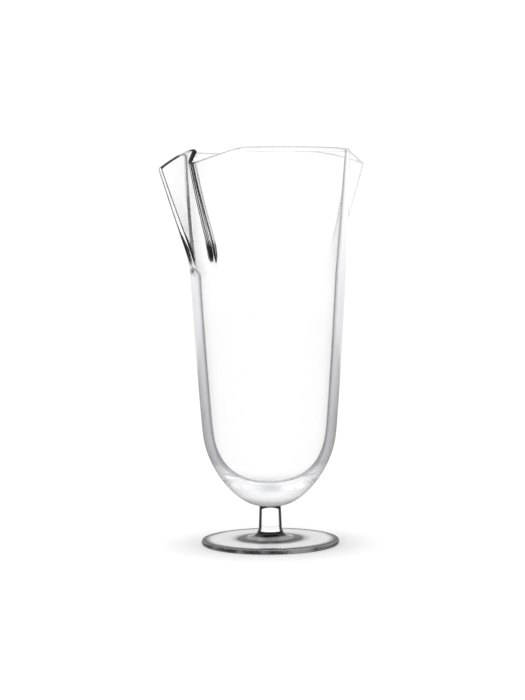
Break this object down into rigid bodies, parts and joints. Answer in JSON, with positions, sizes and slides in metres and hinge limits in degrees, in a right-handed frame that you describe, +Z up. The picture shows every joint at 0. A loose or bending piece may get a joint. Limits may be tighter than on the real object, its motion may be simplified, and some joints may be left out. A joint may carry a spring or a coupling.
{
  "type": "mixing glass",
  "caption": "Tall footed mixing glass for stirring and straining drinks, with a folded pouring spout on each side of its rim, on a short stem and a round foot",
  "frame": {"origin": "middle of the foot's flat underside, on the glass's axis", "axes": "+Z up the glass's axis; one spout points to -X and a little to -Y, the other to +X and +Y; -Y is the side seen in the picture"},
  "size_m": [0.1183, 0.0958, 0.2275],
  "materials": {
    "clear_glass": "clear, fire-polished"
  },
  "bodies": {
    "root": {"bowl": "clear_glass", "stem": "clear_glass", "foot": "clear_glass"}
  },
  "joints": []
}
